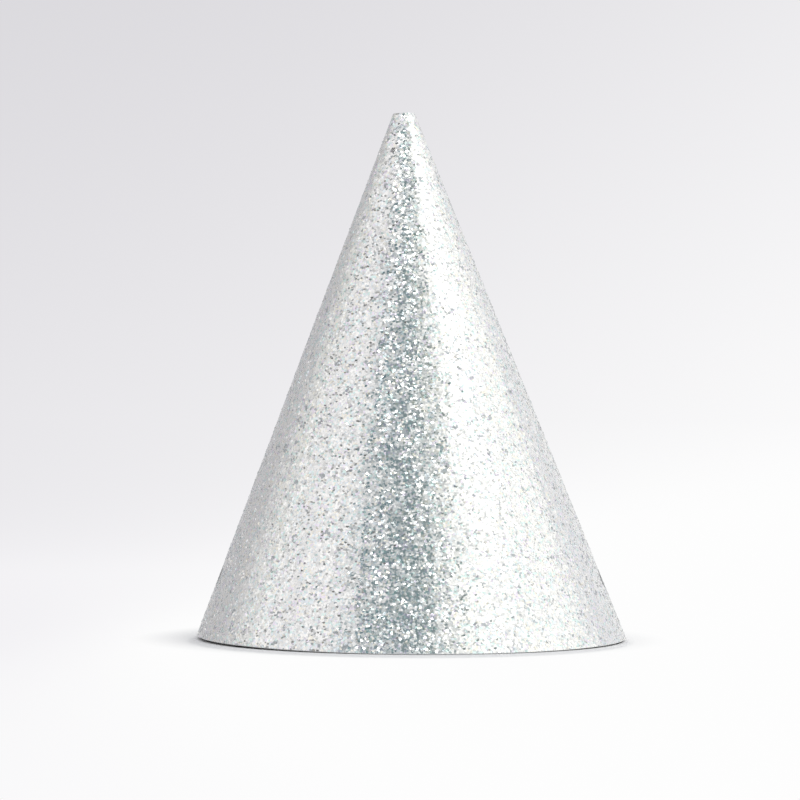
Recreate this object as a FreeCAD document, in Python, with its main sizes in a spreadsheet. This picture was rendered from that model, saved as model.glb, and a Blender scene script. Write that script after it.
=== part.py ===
"""A party hat of glitter card, rolled into a cone and closed by one glued lap.

The flat blank is a sector of white card with a glitter sheet laminated to its face.  Rolled up, it
climbs by its own thickness over one turn, so that its outer end lies on its inner end with a film of
adhesive between them.

The frame: the origin is where the axis of the roll meets the table, and +Z is up.  The lap is at the
back (+Y), and the two holes for a chin cord are at the left and right (-X and +X), a little towards
the front.  The roll leans a little to the left, so each piece is made upright and its placement tilts
it.
"""
import FreeCAD, Part

import math
import os

import Sketcher

DRIVING_DIMENSIONS = [
    ("rim_radius", "64.6", "inside radius of the rim"),
    ("tip_radius", "2.3", "inside radius of the open tip"),
    ("hat_height", "160", "table to tip"),
    ("tip_shift", "2.6", "how far the axis of the roll leans to the left, from table to tip"),
    ("rim_lift", "0.6", "how far the rim clears the table at its left and right, on average"),
    ("rim_bias", "0.2", "how much more than that it clears the table at its left, and less at its right"),
    ("card_thickness", "0.4", "white card"),
    ("glitter_thickness", "0.25", "glitter sheet on the face of the card"),
    ("adhesive_thickness", "0.1", "adhesive between the two ends of the blank"),
    ("lap_angle", "12", "turn over which the ends of the blank overlap"),
    ("adhesive_margin", "1.5", "turn left free of adhesive along each edge of the lap"),
    ("adhesive_inset", "2", "slant length left free of adhesive at the rim and at the tip"),
    ("hole_diameter", "6", "punched hole for the chin cord"),
    ("hole_rise", "20", "from the table up the slant to the middle of a hole"),
    ("hole_turn", "6.5", "turn of each hole from the hat's left or right towards the front"),
    ("trim_allowance", "3", "height by which the roll is made too long at each end, then cut off"),
    ("cutter_reach", "6", "how far a cutting shape passes the wall on each side"),
]

doc = FreeCAD.newDocument("party_hat")
sizes = doc.addObject("Spreadsheet::Sheet", "sizes")
for row, (alias, value, meaning) in enumerate(DRIVING_DIMENSIONS, start=1):
    sizes.set(f"A{row}", meaning)
    sizes.set(f"B{row}", value)
    sizes.setAlias(f"B{row}", alias)
doc.recompute()

# What follows from the driving dimensions, as expressions over the sheet.  The inside of the roll is
# a cone whose apex is above the tip.  A thickness measured square to the slanting wall grows by the
# cosine of the slant where a level section cuts it.
SLOPE = "((sizes.rim_radius - sizes.tip_radius) / sizes.hat_height)"
SLANT_ANGLE = f"atan({SLOPE})"
APEX_HEIGHT = f"(sizes.rim_radius / {SLOPE})"
LEAN = "(sizes.tip_shift / sizes.hat_height)"
LEAN_ANGLE = f"atan({LEAN})"
CARD = f"(sizes.card_thickness / cos({SLANT_ANGLE}))"
GLITTER = f"(sizes.glitter_thickness / cos({SLANT_ANGLE}))"
ADHESIVE = f"(sizes.adhesive_thickness / cos({SLANT_ANGLE}))"
LAP_STEP = f"({CARD} + {GLITTER} + {ADHESIVE})"
LOWER_END = f"(0 - sizes.trim_allowance - sizes.rim_radius * {LEAN})"
UPPER_END = "(sizes.hat_height + sizes.trim_allowance)"

# The blank's long edge is an arc about the apex.  Swung about a level axis that is a little lower
# than the apex, that arc touches the table at the front and back of the rim and rises at its sides.
# As the roll leans and its second half turn is wider, the middle of the rim is a little to the right.
# The axis lies further to the right still, so that the left side rises more.
RIM_SLANT = f"sqrt({APEX_HEIGHT} ^ 2 + sizes.rim_radius ^ 2)"
ARC_DEPTH = f"({RIM_SLANT} - {APEX_HEIGHT})"
SWING_HEIGHT = (
    f"((sizes.rim_radius ^ 2 + sizes.rim_lift ^ 2 - {ARC_DEPTH} ^ 2)"
    f" / (2 * ({ARC_DEPTH} + sizes.rim_lift)))"
)
RIM_MIDDLE = f"(sizes.rim_radius * {SLOPE} * {LEAN} + {LAP_STEP} / 4)"
SWING_SHIFT = f"({RIM_MIDDLE} + {SWING_HEIGHT} * sizes.rim_bias / sizes.rim_radius)"
TIP_SLANT = f"sqrt(({APEX_HEIGHT} - sizes.hat_height) ^ 2 + (sizes.tip_radius + {LAP_STEP}) ^ 2)"

# Directions round the roll, seen from above and counted from +X.  It starts and ends in the lap.
ROLL_START = "(90 - sizes.lap_angle / 2)"
HALF_TURN = "180"


def number(expression):
    """The value of an expression over the sheet."""
    value = sizes.evalExpression(expression)
    return float(getattr(value, "Value", value))


def roll_radii(level, offset):
    """Radii of the three arcs of the roll at a height and at an offset from its inside.

    The second half turn is half a step longer in radius than the first.  So the last arc, which
    lies on the start of the first, has the same centre and is one whole step longer.
    """
    first = f"(sizes.rim_radius - {SLOPE} * {level} + {offset})"
    return [first, f"({first} + {LAP_STEP} / 2)", f"({first} + {LAP_STEP})"]


def new_body(name):
    """A body that leans to the left by its placement."""
    body = doc.addObject("PartDesign::Body", name)
    body.Placement.Rotation = FreeCAD.Rotation(FreeCAD.Vector(0, -1, 0), number(LEAN_ANGLE))
    body.setExpression("Placement.Rotation.Angle", LEAN_ANGLE)
    return body


def attach(item, support):
    """Lay a sketch or a plane on a plane."""
    item.AttachmentSupport = (support, [""])
    item.MapMode = "FlatFace"
    return item


def new_sketch(body, name, role):
    """A sketch on one of the body's own origin planes."""
    plane = next(item for item in body.Origin.OriginFeatures if item.Role == role)
    return attach(body.newObject("Sketcher::SketchObject", name), plane)


def constrain(sketch, kind, *where):
    """Add a geometric constraint."""
    return sketch.addConstraint(Sketcher.Constraint(kind, *where))


def drive(sketch, name, expression, kind, *where):
    """Add a dimension, name it and bind it to an expression."""
    value = number(expression)
    if kind == "Angle":
        expression = f"{expression} * 1 deg"
        value = math.radians(value)
    sketch.renameConstraint(constrain(sketch, kind, *where, value), name)
    sketch.setExpression(f"Constraints.{name}", expression)


def arc(centre, radius, start, end):
    """An arc between two directions in degrees."""
    circle = Part.Circle(FreeCAD.Vector(*centre, 0), FreeCAD.Vector(0, 0, 1), radius)
    return Part.ArcOfCircle(circle, math.radians(start), math.radians(end))


def line(start, end):
    """A straight edge between two points."""
    return Part.LineSegment(FreeCAD.Vector(*start, 0), FreeCAD.Vector(*end, 0))


def polar(centre, radius, direction):
    """The point at a distance and a direction in degrees from a centre."""
    angle = math.radians(direction)
    return centre[0] + radius * math.cos(angle), centre[1] + radius * math.sin(angle)


def band_sketch(body, name, level, radii, thickness, start, spans):
    """Level section of a curved sheet: tangent arcs on each face, and a straight cut at each end.

    The first arc is about the origin, and each span is the turn of one arc.
    """
    sketch = new_sketch(body, name, "XY_Plane")
    sketch.setExpression("AttachmentOffset.Base.z", level)
    lengths = [number(radius) for radius in radii]
    centres = [(0, 0)]
    turns = [number(start)]
    for index, span in enumerate(spans):
        turns.append(turns[index] + number(span))
        if index + 1 < len(spans):
            shrink = lengths[index] - lengths[index + 1]
            centres.append(polar(centres[index], shrink, turns[index + 1]))
    outer = len(radii)
    last = outer - 1
    for extra in (0, number(thickness)):
        for centre, length, turn, next_turn in zip(centres, lengths, turns, turns[1:]):
            sketch.addGeometry(arc(centre, length + extra, turn, next_turn))
    cuts = []
    for index, turn in ((0, turns[0]), (last, turns[-1])):
        inside = polar(centres[index], lengths[index], turn)
        outside = polar(centres[index], lengths[index] + number(thickness), turn)
        cuts.append(sketch.addGeometry(line(inside, outside)))
    constrain(sketch, "Coincident", 0, 3, -1, 1)
    for index in range(last):
        constrain(sketch, "Tangent", index, 2, index + 1, 1)
        constrain(sketch, "Tangent", outer + index, 2, outer + index + 1, 1)
    for index in range(outer):
        constrain(sketch, "Coincident", index, 3, outer + index, 3)
    for cut_line, index, arc_end in ((cuts[0], 0, 1), (cuts[1], last, 2)):
        constrain(sketch, "Coincident", index, arc_end, cut_line, 1)
        constrain(sketch, "Coincident", outer + index, arc_end, cut_line, 2)
        constrain(sketch, "PointOnObject", index, 3, cut_line)
    for index, radius in enumerate(radii):
        drive(sketch, f"radius_{index}", radius, "Radius", index)
        drive(sketch, f"span_{index}", spans[index], "Angle", index)
    drive(sketch, "outer_radius", f"({radii[0]} + {thickness})", "Radius", outer)
    drive(sketch, "start_direction", start, "Angle", -1, 1, cuts[0], 1)
    return sketch


def loft(body, lower, upper):
    """The sheet between its two level sections."""
    roll = body.newObject("PartDesign::AdditiveLoft", f"{body.Label}_roll")
    roll.Profile = lower
    roll.Sections = [upper]
    roll.Ruled = True
    doc.recompute()


def cut(body, feature):
    """Recompute after a cutting feature, and make sure that it took something away."""
    whole = feature.BaseFeature.Shape.Volume
    doc.recompute()
    if feature.Shape.isNull() or feature.Shape.Volume >= whole:
        raise RuntimeError(f"{feature.Label} cuts nothing from {body.Label}")


def groove(body, name, sketch, axis):
    """Cut a sketch away all round one of its own axes."""
    feature = body.newObject("PartDesign::Groove", name)
    feature.Profile = sketch
    feature.ReferenceAxis = (sketch, [axis])
    feature.Angle = 360
    cut(body, feature)


def trim_rim(body, inset):
    """Cut the rim square to the sheet, with the arc of the blank's long edge.

    The sketch's own level axis is the swing axis, in its place however the body leans.
    """
    sketch = new_sketch(body, f"{body.Label}_rim_cut", "YZ_Plane")
    up = f"({SWING_HEIGHT} * cos({LEAN_ANGLE}) - {SWING_SHIFT} * sin({LEAN_ANGLE}))"
    across = f"({SWING_HEIGHT} * sin({LEAN_ANGLE}) + {SWING_SHIFT} * cos({LEAN_ANGLE}))"
    sketch.setExpression("AttachmentOffset.Base.y", up)
    sketch.setExpression("AttachmentOffset.Base.z", across)
    slant = f"({RIM_SLANT} - {inset})"
    above = f"({APEX_HEIGHT} - {SWING_HEIGHT})"
    reach = f"(sizes.rim_radius + {LAP_STEP} + sizes.cutter_reach)"
    depth = f"({SWING_HEIGHT} + {ARC_DEPTH} - {LOWER_END} + sizes.cutter_reach)"
    apex = (0, number(above))
    length = number(slant)
    half_opening = math.degrees(math.asin(number(reach) / length))
    corners = [
        polar(apex, length, half_opening - 90),
        (number(reach), -number(depth)),
        (-number(reach), -number(depth)),
        polar(apex, length, -half_opening - 90),
    ]
    edge = sketch.addGeometry(arc(apex, length, -half_opening - 90, half_opening - 90))
    back, bottom, front = [
        sketch.addGeometry(line(first, second)) for first, second in zip(corners, corners[1:])
    ]
    constrain(sketch, "Coincident", edge, 2, back, 1)
    constrain(sketch, "Coincident", back, 2, bottom, 1)
    constrain(sketch, "Coincident", bottom, 2, front, 1)
    constrain(sketch, "Coincident", front, 2, edge, 1)
    constrain(sketch, "Vertical", back)
    constrain(sketch, "Vertical", front)
    constrain(sketch, "PointOnObject", edge, 3, -2)
    constrain(sketch, "Symmetric", bottom, 1, bottom, 2, -2)
    drive(sketch, "apex_above_swing", above, "DistanceY", -1, 1, edge, 3)
    drive(sketch, "slant", slant, "Radius", edge)
    drive(sketch, "reach", reach, "DistanceX", -1, 1, bottom, 1)
    drive(sketch, "depth", depth, "DistanceY", bottom, 1, -1, 1)
    groove(body, f"{body.Label}_rim_trim", sketch, "H_Axis")


def trim_tip(body, inset):
    """Cut the tip open, square to the sheet, at one slant length from the apex."""
    sketch = new_sketch(body, f"{body.Label}_tip_cut", "XZ_Plane")
    slant = f"({TIP_SLANT} + {inset})"
    apex = (0, number(APEX_HEIGHT))
    length = number(slant)
    edge = sketch.addGeometry(arc(apex, length, -90, 0))
    top = sketch.addGeometry(line(polar(apex, length, 0), apex))
    axis = sketch.addGeometry(line(apex, polar(apex, length, -90)))
    constrain(sketch, "Coincident", edge, 2, top, 1)
    constrain(sketch, "Coincident", top, 2, axis, 1)
    constrain(sketch, "Coincident", edge, 3, axis, 1)
    constrain(sketch, "Coincident", axis, 2, edge, 1)
    constrain(sketch, "Horizontal", top)
    constrain(sketch, "Vertical", axis)
    constrain(sketch, "PointOnObject", edge, 3, -2)
    drive(sketch, "apex_height", APEX_HEIGHT, "DistanceY", -1, 1, edge, 3)
    drive(sketch, "slant", slant, "Radius", edge)
    groove(body, f"{body.Label}_tip_trim", sketch, "V_Axis")


def punch(body, name, side):
    """Punch a cord hole square through the wall, at the left (side -1) or the right (side 1)."""
    rise = f"(sizes.hole_rise * cos({SLANT_ANGLE}) - {side} * sizes.rim_radius * {LEAN})"
    reach = f"(sizes.rim_radius - {SLOPE} * {rise})"
    middle = next(item for item in body.Origin.OriginFeatures if item.Role == "YZ_Plane")
    facing = attach(body.newObject("PartDesign::Plane", f"{body.Label}_{name}_facing"), middle)
    turn = FreeCAD.Rotation(FreeCAD.Vector(0, -side, 0), number("sizes.hole_turn"))
    facing.AttachmentOffset = FreeCAD.Placement(FreeCAD.Vector(), turn)
    facing.setExpression("AttachmentOffset.Rotation.Angle", "sizes.hole_turn * 1 deg")
    sketch = body.newObject("Sketcher::SketchObject", f"{body.Label}_{name}_circle")
    attach(sketch, facing)
    tilt = FreeCAD.Rotation(FreeCAD.Vector(-side, 0, 0), number(SLANT_ANGLE))
    sketch.AttachmentOffset = FreeCAD.Placement(FreeCAD.Vector(), tilt)
    sketch.setExpression("AttachmentOffset.Base.y", rise)
    sketch.setExpression("AttachmentOffset.Base.z", f"{side} * {reach}")
    sketch.setExpression("AttachmentOffset.Rotation.Angle", SLANT_ANGLE)
    radius = number("sizes.hole_diameter") / 2
    circle = sketch.addGeometry(Part.Circle(FreeCAD.Vector(), FreeCAD.Vector(0, 0, 1), radius))
    constrain(sketch, "Coincident", circle, 3, -1, 1)
    drive(sketch, "diameter", "sizes.hole_diameter", "Diameter", circle)
    hole = body.newObject("PartDesign::Pocket", f"{body.Label}_{name}")
    hole.Profile = sketch
    hole.Midplane = True
    hole.setExpression("Length", "2 * sizes.cutter_reach")
    cut(body, hole)


def layer(name, offset, thickness):
    """One layer of the rolled sheet, from rim to tip, with its two cord holes."""
    body = new_body(name)
    sections = []
    for end, level in (("lower", LOWER_END), ("upper", UPPER_END)):
        radii = roll_radii(level, offset)
        spans = [HALF_TURN, HALF_TURN, "sizes.lap_angle"]
        label = f"{name}_{end}_section"
        sections.append(band_sketch(body, label, level, radii, thickness, ROLL_START, spans))
    loft(body, *sections)
    trim_rim(body, "0")
    trim_tip(body, "0")
    punch(body, "left_hole", -1)
    punch(body, "right_hole", 1)
    return body


def lap_adhesive(name):
    """The film of adhesive that closes the lap, set in from every edge of it."""
    body = new_body(name)
    sections = []
    for end, level in (("lower", LOWER_END), ("upper", UPPER_END)):
        radii = roll_radii(level, f"({CARD} + {GLITTER})")[:1]
        start = f"({ROLL_START} + sizes.adhesive_margin)"
        spans = ["(sizes.lap_angle - 2 * sizes.adhesive_margin)"]
        label = f"{name}_{end}_section"
        sections.append(band_sketch(body, label, level, radii, ADHESIVE, start, spans))
    loft(body, *sections)
    trim_rim(body, "sizes.adhesive_inset")
    trim_tip(body, "sizes.adhesive_inset")
    return body


def check_and_write(bodies):
    """Refuse any failed object or bad shape, then write one file for each piece."""
    doc.recompute()
    for item in doc.Objects:
        if "Invalid" in item.State or "Error" in item.State:
            raise RuntimeError(f"{item.Label} failed: {item.State}")
    for body in bodies:
        shape = body.Shape
        if shape.isNull() or not shape.isValid() or len(shape.Solids) != 1:
            raise RuntimeError(f"{body.Label} is not one valid solid")
    os.makedirs("parts", exist_ok=True)
    for body in bodies:
        body.Shape.exportStep(f"parts/{body.Label}.step")
        print(f"{body.Label}: {body.Shape.Volume:.1f} cubic millimetres")


check_and_write([
    layer("card_cone", "0", CARD),
    layer("glitter_face", CARD, GLITTER),
    lap_adhesive("seam_adhesive"),
])
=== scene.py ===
import math

import bmesh
import bpy
import numpy as np
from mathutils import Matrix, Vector, noise
from mathutils.bvhtree import BVHTree


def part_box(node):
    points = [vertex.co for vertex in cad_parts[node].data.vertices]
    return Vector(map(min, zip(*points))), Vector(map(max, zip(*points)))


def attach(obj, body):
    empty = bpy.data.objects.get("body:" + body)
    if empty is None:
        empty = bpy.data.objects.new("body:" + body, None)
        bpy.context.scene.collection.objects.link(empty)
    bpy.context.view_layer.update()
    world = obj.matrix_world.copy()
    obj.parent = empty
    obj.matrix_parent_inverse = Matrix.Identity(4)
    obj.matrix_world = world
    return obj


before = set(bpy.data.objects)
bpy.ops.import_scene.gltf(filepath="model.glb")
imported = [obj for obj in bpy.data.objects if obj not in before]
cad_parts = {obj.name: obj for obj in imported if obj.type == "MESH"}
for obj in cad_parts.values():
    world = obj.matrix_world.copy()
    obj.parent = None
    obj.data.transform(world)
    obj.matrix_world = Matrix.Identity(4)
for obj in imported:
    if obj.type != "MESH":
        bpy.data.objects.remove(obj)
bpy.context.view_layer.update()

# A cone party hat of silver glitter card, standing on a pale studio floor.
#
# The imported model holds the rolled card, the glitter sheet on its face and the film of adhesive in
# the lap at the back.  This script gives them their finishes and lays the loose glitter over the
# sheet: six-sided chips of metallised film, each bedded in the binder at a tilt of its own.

MM = 0.001

# The hat, read from the frame.
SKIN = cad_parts["glitter_face"]
SKIN_LOW, SKIN_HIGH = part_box("glitter_face")
RIM_CENTRE = (SKIN_LOW + SKIN_HIGH) / 2
RIM_CENTRE.z = 0.0
RIM_RADIUS = (SKIN_HIGH.x - SKIN_LOW.x) / 2
HAT_HEIGHT = SKIN_HIGH.z

# The camera: a long lens at a little under half the hat's height, almost level.
CAMERA_DISTANCE = 0.95
CAMERA_HEIGHT = 0.068
CAMERA_LEFT = 3.8 * MM
CAMERA_TILT_UP = math.radians(0.28)
CAMERA_ROLL = math.radians(-0.28)
CAMERA_CLIP = (0.05, 50.0)
LENS = 140.2
SENSOR_WIDTH = 36.0

# The chips of glitter: their size, and how closely they are strewn.
CHIP_SEED = 20
CHIP_SIDES = 6
CHIP_PITCH = 0.64 * MM
CHIP_RADIUS = (0.38 * MM, 0.54 * MM)
CHIP_DEPTH = 0.30 * MM       # how far each reaches down into the binder,
CHIP_TAPER = 0.2             # and further by this share of its radius
CHIP_STREWN = 0.75           # how far from its place in the row, as a share of the pitch
CHIPS_PER_PIECE = 18000

# How the chips lie. Most lie nearly flat, and a share of them is tipped further. They tip more up
# and down than sideways, so that what they mirror is drawn out along the wall.
CHIP_TILT = math.radians(4)
CHIP_TILT_LOOSE = math.radians(13)
CHIP_TILT_MOST = math.radians(30)
CHIP_LOOSE = 0.3
CHIP_TILT_SIDEWAYS = 0.55
CHIP_TILT_UPRIGHT = 1.25
CHIP_SWAY = 0.07             # the sheet's own unevenness, which tips neighbours alike,
CHIP_SWAY_SPAN = 2.2 * MM    # and how far it reaches
CHIP_CLEARANCE = 0.02 * MM   # a chip's middle above the sheet when it lies flat,
CHIP_STANCE = 0.15           # and how much of its tipped radius is added

# Spills: the share of the chips that take the foil of their neighbours, and a spill's size.
CHIP_CLUSTERED = 0.45
CHIP_CLUSTER_SPAN = 2.6 * MM

# The rays that find the sheet under the chips.
RAY_START = 5 * MM           # outside the wall
RAY_LENGTH = 8 * MM
RAY_SQUARE = 0.7             # least cosine between the ray and the skin that it meets
CHIP_PROBE = 1.0 * MM        # above and below a corner of a chip
CHIP_STEP = 0.25 * MM        # a larger step under a chip is an edge of the sheet
TRIM_STEPS = 5               # halvings of the way to a corner that overhangs


# ---------------------------------------------------------------------------------- materials

def new_material(name):
    """A material with its node tree and its Principled shader."""
    material = bpy.data.materials.new(name)
    material.use_nodes = True
    return material, material.node_tree, material.node_tree.nodes["Principled BSDF"]


def add_node(tree, kind, **settings):
    """A node with its settings, and with its unlinked inputs set by name."""
    made = tree.nodes.new(kind)
    for name, value in settings.items():
        if hasattr(made, name):
            setattr(made, name, value)
        else:
            made.inputs[name.replace("_", " ")].default_value = value
    return made


def mixed(tree, share, first, second):
    """The blend of two colours by a socket that runs from 0 to 1. The first may be a socket too."""
    blend = add_node(tree, "ShaderNodeMix", data_type="RGBA")
    blend.inputs["B"].default_value = (*second, 1.0)
    tree.links.new(share, blend.inputs["Factor"])
    if isinstance(first, tuple):
        blend.inputs["A"].default_value = (*first, 1.0)
    else:
        tree.links.new(first, blend.inputs["A"])
    return blend.outputs["Result"]


def foil(name, colour, roughness):
    """Metallised film, cut into chips: its finish varies from chip to chip and not within one."""
    material, _, shader = new_material(name)
    shader.inputs["Base Color"].default_value = (*colour, 1.0)
    shader.inputs["Metallic"].default_value = 1.0
    shader.inputs["Roughness"].default_value = roughness
    return material


FOILS = [
    # name, colour, roughness, share of the chips
    ("foil_silver", (0.94, 0.94, 0.91), 0.14, 0.40),
    ("foil_satin", (0.89, 0.89, 0.865), 0.30, 0.22),
    ("foil_cool", (0.82, 0.88, 0.90), 0.20, 0.12),
    ("foil_teal", (0.72, 0.88, 0.84), 0.18, 0.08),
    ("foil_warm", (0.95, 0.92, 0.82), 0.20, 0.09),
    ("foil_violet", (0.88, 0.82, 0.91), 0.20, 0.06),
    # A few chips are dark grey, for darker specks among the glitter.
    ("foil_dark_grey", (0.50, 0.53, 0.54), 0.40, 0.03),
]


RESIN = (0.86, 0.86, 0.88, 1.0)
RESIN_ROUGHNESS = 0.35


def resin(name):
    """The clear binder that has set round the sides of the chips."""
    material, _, shader = new_material(name)
    shader.inputs["Base Color"].default_value = RESIN
    shader.inputs["Roughness"].default_value = RESIN_ROUGHNESS
    return material


DUST_GRAINS = 3200.0         # to the metre
DUST_DARK = (0.76, 0.77, 0.78, 1.0)
DUST_PALE = (0.90, 0.91, 0.91, 1.0)
DUST_RELIEF = 0.12 * MM
DUST_METAL = 0.2
DUST_ROUGHNESS = 0.42


def binder_material():
    """The glitter sheet under the chips: fine silver dust set in a clear binder."""
    material, tree, shader = new_material("glitter_binder")
    place = add_node(tree, "ShaderNodeTexCoord")
    dust = add_node(tree, "ShaderNodeTexVoronoi", Scale=DUST_GRAINS)
    tones = add_node(tree, "ShaderNodeValToRGB")
    tones.color_ramp.elements[0].color = DUST_DARK
    tones.color_ramp.elements[1].color = DUST_PALE
    relief = add_node(tree, "ShaderNodeBump", Strength=0.8, Distance=DUST_RELIEF)
    tree.links.new(place.outputs["Object"], dust.inputs["Vector"])
    tree.links.new(dust.outputs["Color"], tones.inputs["Fac"])
    tree.links.new(tones.outputs["Color"], shader.inputs["Base Color"])
    tree.links.new(dust.outputs["Color"], relief.inputs["Height"])
    tree.links.new(relief.outputs["Normal"], shader.inputs["Normal"])
    shader.inputs["Metallic"].default_value = DUST_METAL
    shader.inputs["Roughness"].default_value = DUST_ROUGHNESS
    return material


CARD_CLOUDS = 90.0           # to the metre, as are the fibres
CARD_FIBRES = 2600.0
CARD_FIBRES_DRAWN_OUT = (1.0, 1.0, 0.25)
CARD_DULL = (0.80, 0.79, 0.765)
CARD_WHITE = (0.89, 0.885, 0.87)
CARD_TOOTH = 0.05 * MM
CARD_ROUGHNESS = 0.82


def card_material():
    """White paperboard: faint cloudiness, short fibres and a soft tooth."""
    material, tree, shader = new_material("white_paperboard")
    place = add_node(tree, "ShaderNodeTexCoord")
    cloud = add_node(tree, "ShaderNodeTexNoise", Scale=CARD_CLOUDS, Detail=4.0)
    stretch = add_node(tree, "ShaderNodeMapping")
    stretch.inputs["Scale"].default_value = CARD_FIBRES_DRAWN_OUT
    fibre = add_node(tree, "ShaderNodeTexNoise", Scale=CARD_FIBRES, Detail=6.0, Roughness=0.7)
    relief = add_node(tree, "ShaderNodeBump", Strength=0.35, Distance=CARD_TOOTH)
    tree.links.new(place.outputs["Object"], cloud.inputs["Vector"])
    tree.links.new(place.outputs["Object"], stretch.inputs["Vector"])
    tree.links.new(stretch.outputs["Vector"], fibre.inputs["Vector"])
    tone = mixed(tree, cloud.outputs["Fac"], CARD_DULL, CARD_WHITE)
    tree.links.new(tone, shader.inputs["Base Color"])
    tree.links.new(fibre.outputs["Fac"], relief.inputs["Height"])
    tree.links.new(relief.outputs["Normal"], shader.inputs["Normal"])
    shader.inputs["Roughness"].default_value = CARD_ROUGHNESS
    return material


GLUE_STREAKS = 700.0         # to the metre
GLUE_YELLOWED = (0.72, 0.68, 0.56)
GLUE_CLEAR = (0.86, 0.84, 0.76)
GLUE_ROUGHNESS = 0.3


def adhesive_material():
    """A dried film of clear glue, slightly yellow and streaked by the brush."""
    material, tree, shader = new_material("dried_adhesive")
    place = add_node(tree, "ShaderNodeTexCoord")
    streak = add_node(tree, "ShaderNodeTexNoise", Scale=GLUE_STREAKS, Detail=3.0)
    tree.links.new(place.outputs["Object"], streak.inputs["Vector"])
    tone = mixed(tree, streak.outputs["Fac"], GLUE_YELLOWED, GLUE_CLEAR)
    tree.links.new(tone, shader.inputs["Base Color"])
    shader.inputs["Roughness"].default_value = GLUE_ROUGHNESS
    return material


def finish_node(node, material):
    """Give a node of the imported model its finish."""
    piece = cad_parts[node]
    piece.data.materials.clear()
    piece.data.materials.append(material)


# ------------------------------------------------------------------------------------ glitter

def skin_tree():
    """The glitter sheet as a tree that rays can be shot at."""
    solid = bmesh.new()
    solid.from_mesh(SKIN.data)
    tree = BVHTree.FromBMesh(solid)
    solid.free()
    return tree


def ring_middle(low, high, height):
    """The middle of the sheet's points between two heights, put at a third."""
    points = np.array([v.co for v in SKIN.data.vertices if low <= v.co.z <= high])
    middle = Vector((points.min(axis=0) + points.max(axis=0)) / 2)
    middle.z = height
    return middle


# The hat's leaning axis, and the slant of its wall. The sheet's points lie near its two ends.
RIM_BAND = 6 * MM
TIP_BAND = 1 * MM
AXIS_LOW = ring_middle(-RIM_BAND, RIM_BAND, 0.0)
AXIS_HIGH = ring_middle(HAT_HEIGHT - TIP_BAND, HAT_HEIGHT + TIP_BAND, HAT_HEIGHT)
TIP_RADIUS = 3.0 * MM
WALL_SLANT = math.atan2(RIM_RADIUS - TIP_RADIUS, HAT_HEIGHT)


def axis_at(height):
    """The middle of the hat at a height."""
    return AXIS_LOW.lerp(AXIS_HIGH, height / HAT_HEIGHT)


def radius_at(height):
    """The hat's radius at a height."""
    return RIM_RADIUS + (TIP_RADIUS - RIM_RADIUS) * height / HAT_HEIGHT


def strike(tree, height, turn):
    """Where a ray shot square at the wall from outside meets the outermost skin, or None."""
    side = Vector((math.cos(turn), math.sin(turn), 0.0))
    inward = -side * math.cos(WALL_SLANT) - Vector((0, 0, math.sin(WALL_SLANT)))
    start = axis_at(height) + side * radius_at(height) - inward * RAY_START
    point, normal, _, _ = tree.ray_cast(start, inward, RAY_LENGTH)
    if point is None or normal.dot(inward) > -RAY_SQUARE:
        return None
    return point, normal


def scatter(tree, random):
    """Places for the chips: rows up the wall, each strewn a little off its own place."""
    points, normals = [], []
    rise = CHIP_PITCH * math.cos(WALL_SLANT) * math.sqrt(3) / 2
    for row in range(int(HAT_HEIGHT / rise) + 1):
        height = row * rise
        count = round(math.tau * radius_at(height) / CHIP_PITCH)
        first = random.uniform(0, math.tau)
        off = random.uniform(-0.5, 0.5, (count, 2)) * CHIP_STREWN
        for k in range(count):
            turn = first + (k + off[k, 0]) * math.tau / count
            hit = strike(tree, height + off[k, 1] * rise, turn)
            if hit:
                points.append(hit[0])
                normals.append(hit[1])
    return np.array(points), np.array(normals)


def unit(vectors):
    """Each row at length 1."""
    return vectors / np.linalg.norm(vectors, axis=1, keepdims=True)


def smooth_noise(points, span):
    """A random vector at each point that changes slowly over the sheet."""
    return np.array([noise.noise_vector(Vector(point) / span) for point in points])


def tilted(points, normals, random):
    """The normals, tipped slowly over the sheet's unevenness and each one a random way."""
    count = len(normals)
    up = np.tile([0.0, 0.0, 1.0], (count, 1))
    across = unit(np.cross(normals, up))
    along = np.cross(across, normals)
    way = random.uniform(0, math.tau, count)[:, None]
    loose = random.uniform(size=count) < CHIP_LOOSE
    amount = np.abs(random.normal(0, np.where(loose, CHIP_TILT_LOOSE, CHIP_TILT)))
    amount = np.minimum(amount, CHIP_TILT_MOST)[:, None]
    lean = CHIP_TILT_SIDEWAYS * np.cos(way) * across + CHIP_TILT_UPRIGHT * np.sin(way) * along
    sway = smooth_noise(points, CHIP_SWAY_SPAN) * CHIP_SWAY
    faces = unit(normals * np.cos(amount) + lean * np.sin(amount) + sway)
    return faces, amount[:, 0]


def build_chips(points, normals, random):
    """Corners of every chip: six round its face, and one under it in the binder."""
    faces, amount = tilted(points, normals, random)
    size = random.uniform(*CHIP_RADIUS, len(points))
    spin = random.uniform(0, math.tau, len(points))
    u = unit(np.cross(faces, random.normal(size=faces.shape)))
    v = np.cross(faces, u)
    middle = points + normals * (size * np.sin(amount) * CHIP_STANCE + CHIP_CLEARANCE)[:, None]
    corners = []
    for k in range(CHIP_SIDES):
        angle = (spin + k * math.tau / CHIP_SIDES)[:, None]
        corners.append(middle + size[:, None] * (np.cos(angle) * u + np.sin(angle) * v))
    corners.append(middle - faces * (CHIP_DEPTH + size * CHIP_TAPER)[:, None])
    return np.stack(corners, axis=1)


def over_sheet(tree, corner, point, normal):
    """Whether a chip's corner lies over the part of the sheet that the chip is stuck to."""
    hit = tree.ray_cast(corner + normal * CHIP_PROBE, -normal, 2 * CHIP_PROBE)[0]
    return hit is not None and abs((hit - point).dot(normal)) < CHIP_STEP


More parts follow.
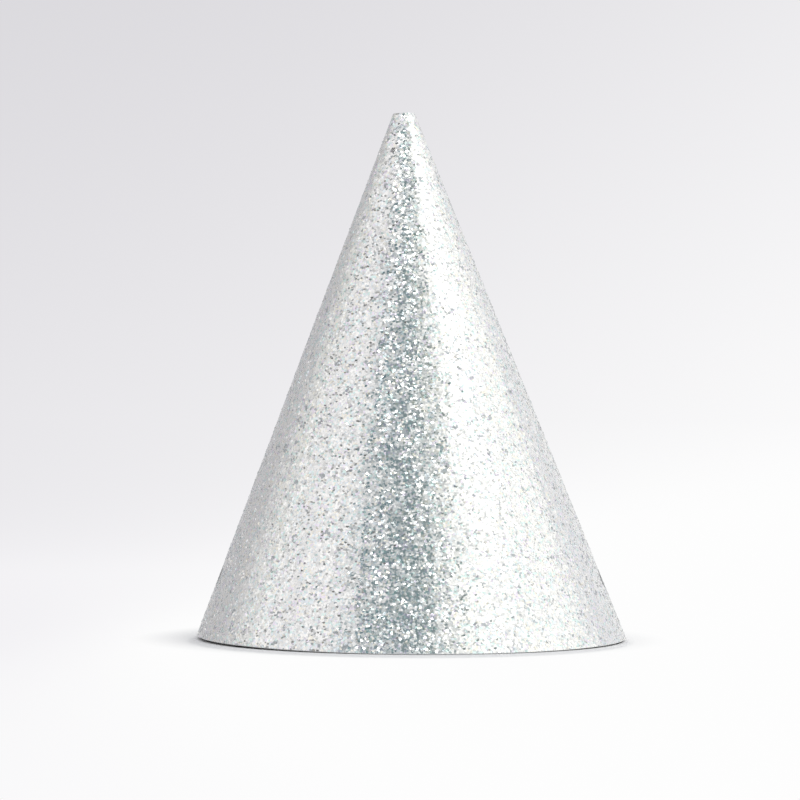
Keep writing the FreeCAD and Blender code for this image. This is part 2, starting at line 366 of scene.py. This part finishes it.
def trim_chips(tree, corners, points, normals):
    """Cut the chips off where the sheet ends: at the rim, the tip, the holes and the lap."""
    for chip, place, square in zip(corners, points, normals):
        point, normal = Vector(place), Vector(square)
        middle = Vector(chip[:CHIP_SIDES].mean(axis=0))
        for corner in chip[:CHIP_SIDES]:
            outer = Vector(corner)
            if over_sheet(tree, outer, point, normal):
                continue
            kept, cut = 0.0, 1.0
            for _ in range(TRIM_STEPS):
                share = (kept + cut) / 2
                if over_sheet(tree, middle.lerp(outer, share), point, normal):
                    kept = share
                else:
                    cut = share
            corner[:] = middle.lerp(outer, kept)


def choose_foils(points, random):
    """A foil for each chip, by the foils' shares. Neighbours often come from one spill of a foil."""
    shares = np.array([share for *_, share in FOILS])
    order = np.argsort(np.argsort(smooth_noise(points, CHIP_CLUSTER_SPAN)[:, 0]))
    spilled = random.uniform(size=len(points)) < CHIP_CLUSTERED
    draw = np.where(spilled, order / len(points), random.uniform(size=len(points)))
    return np.searchsorted(np.cumsum(shares)[:-1] / shares.sum(), draw)


def chips_mesh(name, corners, kinds):
    """One mesh of many closed chips: a six-sided face each, and six sides to the point under it.

    Each face takes the foil of its kind, and the sides take the resin, whose slot comes last.
    """
    count = len(corners)
    per_chip = CHIP_SIDES + 1
    face = list(range(CHIP_SIDES))
    sides = [[CHIP_SIDES, (k + 1) % CHIP_SIDES, k] for k in range(CHIP_SIDES)]
    loops = np.array(face + [corner for side in sides for corner in side])
    sizes = np.array([CHIP_SIDES] + [3] * CHIP_SIDES)
    mesh = bpy.data.meshes.new(name)
    mesh.vertices.add(count * per_chip)
    mesh.vertices.foreach_set("co", corners.astype(np.float32).ravel())
    mesh.loops.add(count * len(loops))
    first = np.arange(count)[:, None] * per_chip
    mesh.loops.foreach_set("vertex_index", (first + loops).astype(np.int32).ravel())
    mesh.polygons.add(count * len(sizes))
    starts = np.arange(count)[:, None] * len(loops) + np.concatenate([[0], np.cumsum(sizes)[:-1]])
    mesh.polygons.foreach_set("loop_start", starts.astype(np.int32).ravel())
    slots = np.full((count, len(sizes)), len(FOILS))
    slots[:, 0] = kinds
    mesh.polygons.foreach_set("material_index", slots.astype(np.int32).ravel())
    mesh.update(calc_edges=True)
    mesh.shade_flat()
    return mesh


def lay_glitter():
    """Strew the chips over the skin, as a few pieces of many chips each."""
    random = np.random.default_rng(CHIP_SEED)
    noise.seed_set(CHIP_SEED)
    tree = skin_tree()
    points, normals = scatter(tree, random)
    corners = build_chips(points, normals, random)
    trim_chips(tree, corners, points, normals)
    kinds = choose_foils(points, random)
    materials = [foil(name, colour, roughness) for name, colour, roughness, _ in FOILS]
    materials.append(resin("clear_resin"))
    for part, start in enumerate(range(0, len(points), CHIPS_PER_PIECE), start=1):
        some = slice(start, start + CHIPS_PER_PIECE)
        name = f"glitter_chips_{part}"
        piece = bpy.data.objects.new(name, chips_mesh(name, corners[some], kinds[some]))
        bpy.context.scene.collection.objects.link(piece)
        for material in materials:
            piece.data.materials.append(material)
        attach(piece, "root")


# ------------------------------------------------------------------------------------- studio

def add_camera():
    """The camera in front of the hat."""
    data = bpy.data.cameras.new("camera")
    data.lens = LENS
    data.sensor_width = SENSOR_WIDTH
    data.clip_start, data.clip_end = CAMERA_CLIP
    camera = bpy.data.objects.new("camera", data)
    camera.location = (RIM_CENTRE.x - CAMERA_LEFT, RIM_CENTRE.y - CAMERA_DISTANCE, CAMERA_HEIGHT)
    camera.rotation_euler = (math.pi / 2 + CAMERA_TILT_UP, CAMERA_ROLL, 0)
    bpy.context.scene.collection.objects.link(camera)
    bpy.context.scene.camera = camera


def direction(azimuth, elevation):
    """A direction from the hat: azimuth from the front towards the right, both in degrees."""
    turn, rise = math.radians(azimuth), math.radians(elevation)
    return Vector((
        math.sin(turn) * math.cos(rise),
        -math.cos(turn) * math.cos(rise),
        math.sin(rise),
    ))


def softbox(name, azimuth, elevation, distance, width, height, brightness):
    """A flat lamp that faces the hat. Its brightness is that of its face, where 1 is white."""
    data = bpy.data.lights.new(name, "AREA")
    data.shape = "RECTANGLE"
    data.size, data.size_y = width, height
    data.energy = brightness * math.pi * width * height
    lamp = bpy.data.objects.new(name, data)
    target = Vector((0, 0, HAT_HEIGHT / 2))
    away = direction(azimuth, elevation)
    lamp.location = target + away * distance
    lamp.rotation_mode = "QUATERNION"
    lamp.rotation_quaternion = away.to_track_quat("Z", "Y")
    lamp.visible_camera = False
    bpy.context.scene.collection.objects.link(lamp)


def patch(tree, toward, centre, inner, outer):
    """How far a direction lies in a round patch of the surroundings: 1 inside, 0 outside."""
    near = add_node(tree, "ShaderNodeVectorMath", operation="DOT_PRODUCT")
    near.inputs[1].default_value = centre
    ramp = add_node(tree, "ShaderNodeMapRange", interpolation_type="SMOOTHSTEP")
    ramp.inputs["From Min"].default_value = math.cos(math.radians(outer))
    ramp.inputs["From Max"].default_value = math.cos(math.radians(inner))
    tree.links.new(toward, near.inputs[0])
    tree.links.new(near.outputs["Value"], ramp.inputs["Value"])
    return ramp.outputs["Result"]


# The room round the hat, as its foil mirrors it: shades and pale panels in front of the backdrop.
# The camera doesn't see them. A later one lies in front of an earlier one.
PATCHES = [
    # centre (azimuth, elevation), inner and outer angle, colour
    ((20, 0), 10, 44, (0.42, 0.44, 0.47)),
    ((60, 0), 10, 44, (0.50, 0.52, 0.55)),
    ((72, 38), 26, 56, (1.16, 1.16, 1.15)),
    ((62, 6), 8, 28, (0.70, 0.72, 0.74)),
    ((128, -4), 8, 34, (0.84, 0.83, 0.88)),
    ((-138, 10), 8, 34, (0.56, 0.55, 0.57)),
    ((-108, 30), 2, 16, (0.72, 0.72, 0.71)),
    ((-45, 63), 5, 15, (0.12, 0.12, 0.12)),
    ((-80, 58), 5, 15, (0.12, 0.12, 0.12)),
    ((-110, 47), 5, 15, (0.20, 0.20, 0.20)),
    ((-42, 4), 6, 22, (0.30, 0.30, 0.30)),
    ((-80, 2), 4, 16, (0.30, 0.30, 0.30)),
    ((30, 58), 8, 18, (0.16, 0.21, 0.21)),
    ((3, 39), 6, 18, (0.18, 0.24, 0.26)),
    ((-21, 28), 8, 19, (0.10, 0.17, 0.20)),
]

# The backdrop's tone: light grey at the upper left, white at the lower right, and a darker shade
# high up at the left.
TONE_TO_RIGHT = 0.7
TONE_UPWARD = -0.85
TONE_RANGE = 0.2
TONE_DARK = (0.89, 0.88, 0.905)
TONE_PALE = (0.985, 0.985, 0.985)
TONE_SHADE = ((-160, 32), 10, 44, (0.64, 0.63, 0.66))


def backdrop_tone(tree, toward):
    """The tone of the backdrop in a direction."""
    slope = add_node(tree, "ShaderNodeVectorMath", operation="DOT_PRODUCT")
    slope.inputs[1].default_value = (TONE_TO_RIGHT, 0.0, TONE_UPWARD)
    ramp = add_node(tree, "ShaderNodeMapRange", interpolation_type="SMOOTHSTEP")
    ramp.inputs["From Min"].default_value = -TONE_RANGE
    ramp.inputs["From Max"].default_value = TONE_RANGE
    tree.links.new(toward, slope.inputs[0])
    tree.links.new(slope.outputs["Value"], ramp.inputs["Value"])
    tone = mixed(tree, ramp.outputs["Result"], TONE_DARK, TONE_PALE)
    centre, inner, outer, grey = TONE_SHADE
    return mixed(tree, patch(tree, toward, direction(*centre), inner, outer), tone, grey)


def add_surroundings():
    """The room: the pale backdrop for every ray, and the patches for every ray but the camera's."""
    world = bpy.data.worlds.new("studio")
    bpy.context.scene.world = world
    world.use_nodes = True
    tree = world.node_tree
    tree.nodes.clear()
    toward = add_node(tree, "ShaderNodeTexCoord").outputs["Generated"]
    rays = add_node(tree, "ShaderNodeLightPath")
    off_camera = add_node(tree, "ShaderNodeMath", operation="SUBTRACT")
    off_camera.inputs[0].default_value = 1.0
    tree.links.new(rays.outputs["Is Camera Ray"], off_camera.inputs[1])
    colour = backdrop_tone(tree, toward)
    for centre, inner, outer, tone in PATCHES:
        share = add_node(tree, "ShaderNodeMath", operation="MULTIPLY")
        tree.links.new(patch(tree, toward, direction(*centre), inner, outer), share.inputs[0])
        tree.links.new(off_camera.outputs[0], share.inputs[1])
        colour = mixed(tree, share.outputs[0], colour, tone)
    light = add_node(tree, "ShaderNodeBackground", Strength=1.0)
    out = add_node(tree, "ShaderNodeOutputWorld")
    tree.links.new(colour, light.inputs["Color"])
    tree.links.new(light.outputs[0], out.inputs["Surface"])


FLOOR_RADIUS = 30.0
FLOOR_SIDES = 128
FLOOR_COLOUR = (0.96, 0.96, 0.965, 1.0)
FLOOR_ROUGHNESS = 0.9

# Where the floor takes the hat's shadow: under the hat, fading out a little way past it, and in a
# narrow strip in front of the rim. Each circle has its centre, and the radii of its core and edge.
SHADOW_CIRCLES = [
    ((-3 * MM, 0.0, 0.0), 54 * MM, 83 * MM),
    ((0.0, -10 * MM, 0.0), 65 * MM, 68 * MM),
]


def add_floor():
    """A wide pale floor that takes the hat's shadow and goes over into the backdrop."""
    shape = bmesh.new()
    bmesh.ops.create_circle(shape, cap_ends=True, segments=FLOOR_SIDES, radius=FLOOR_RADIUS)
    mesh = bpy.data.meshes.new("floor")
    shape.to_mesh(mesh)
    shape.free()
    floor = bpy.data.objects.new("floor", mesh)
    mesh.materials.append(floor_material())
    bpy.context.scene.collection.objects.link(floor)


def outside_circle(tree, place, centre, core, edge):
    """How far a place lies outside a circle: 0 in its core, and 1 beyond its edge."""
    away = add_node(tree, "ShaderNodeVectorMath", operation="DISTANCE")
    away.inputs[1].default_value = centre
    clear = add_node(tree, "ShaderNodeMapRange", interpolation_type="SMOOTHSTEP")
    clear.inputs["From Min"].default_value = core
    clear.inputs["From Max"].default_value = edge
    tree.links.new(place, away.inputs[0])
    tree.links.new(away.outputs["Value"], clear.inputs["Value"])
    return clear.outputs["Result"]


def floor_material():
    """Pale matt floor. Away from the shadow, cameras and mirrors see it glow in the backdrop's tone:
    painted light, greyer to the left and whiter to the right.
    """
    material, tree, shader = new_material("pale_floor")
    shader.inputs["Base Color"].default_value = FLOOR_COLOUR
    shader.inputs["Roughness"].default_value = FLOOR_ROUGHNESS
    place = add_node(tree, "ShaderNodeTexCoord").outputs["Object"]
    below = add_node(tree, "ShaderNodeVectorMath", operation="SUBTRACT")
    below.inputs[1].default_value = (0.0, 0.0, HAT_HEIGHT / 2)
    toward = add_node(tree, "ShaderNodeVectorMath", operation="NORMALIZE")
    tree.links.new(place, below.inputs[0])
    tree.links.new(below.outputs[0], toward.inputs[0])
    rays = add_node(tree, "ShaderNodeLightPath")
    seen = rays.outputs["Is Camera Ray"]
    for kind in ("Is Glossy Ray", "Is Transmission Ray"):
        either = add_node(tree, "ShaderNodeMath", operation="MAXIMUM")
        tree.links.new(seen, either.inputs[0])
        tree.links.new(rays.outputs[kind], either.inputs[1])
        seen = either.outputs[0]
    for circle in SHADOW_CIRCLES:
        share = add_node(tree, "ShaderNodeMath", operation="MULTIPLY")
        tree.links.new(seen, share.inputs[0])
        tree.links.new(outside_circle(tree, place, *circle), share.inputs[1])
        seen = share.outputs[0]
    # Painted light: outside the shadow circles the floor glows in the backdrop's tone instead of
    # being lit.
    glow = add_node(tree, "ShaderNodeEmission", Strength=1.0)
    surface = add_node(tree, "ShaderNodeMixShader")
    tree.links.new(backdrop_tone(tree, toward.outputs[0]), glow.inputs["Color"])
    tree.links.new(seen, surface.inputs["Fac"])
    tree.links.new(shader.outputs[0], surface.inputs[1])
    tree.links.new(glow.outputs[0], surface.inputs[2])
    tree.links.new(surface.outputs[0], tree.nodes["Material Output"].inputs["Surface"])
    return material


# The smaller lamps, by azimuth and elevation. The bright ones at the front stand above and below
# what the hat's front mirrors, so that only a few chips catch each of them.
LAMP_DISTANCE = 1.5
FRONT_LAMPS = ((-30, 52), (-16, 23), (-6, 54), (5, 24), (14, 51), (22, 24))
FRONT_LAMP_SIDE = 0.15
FRONT_LAMP_BRIGHTNESS = 5.0
LEFT_LAMPS = {"left_lamp_near": (-40, 28), "left_lamp": (-62, 32), "left_lamp_far": (-92, 22)}
LEFT_LAMP_SIDE = 0.36
LEFT_LAMP_BRIGHTNESS = 0.18


def small_lamp(name, place, side, brightness):
    """A square lamp at an azimuth and an elevation."""
    softbox(name, *place, LAMP_DISTANCE, side, side, brightness)


def add_lamps():
    """A broad softbox at the right, small bright lamps at the front and dim ones at the left."""
    softbox("right_softbox", 66, 46, distance=1.6, width=0.9, height=0.7, brightness=0.5)
    for k, place in enumerate(FRONT_LAMPS, start=1):
        small_lamp(f"front_lamp_{k}", place, FRONT_LAMP_SIDE, FRONT_LAMP_BRIGHTNESS)
    for name, place in LEFT_LAMPS.items():
        small_lamp(name, place, LEFT_LAMP_SIDE, LEFT_LAMP_BRIGHTNESS)


# ------------------------------------------------------------------------------------- making

finish_node("card_cone", card_material())
finish_node("glitter_face", binder_material())
finish_node("seam_adhesive", adhesive_material())
add_camera()
add_surroundings()
add_lamps()
add_floor()
lay_glitter()
bpy.context.scene.view_settings.view_transform = "Standard"
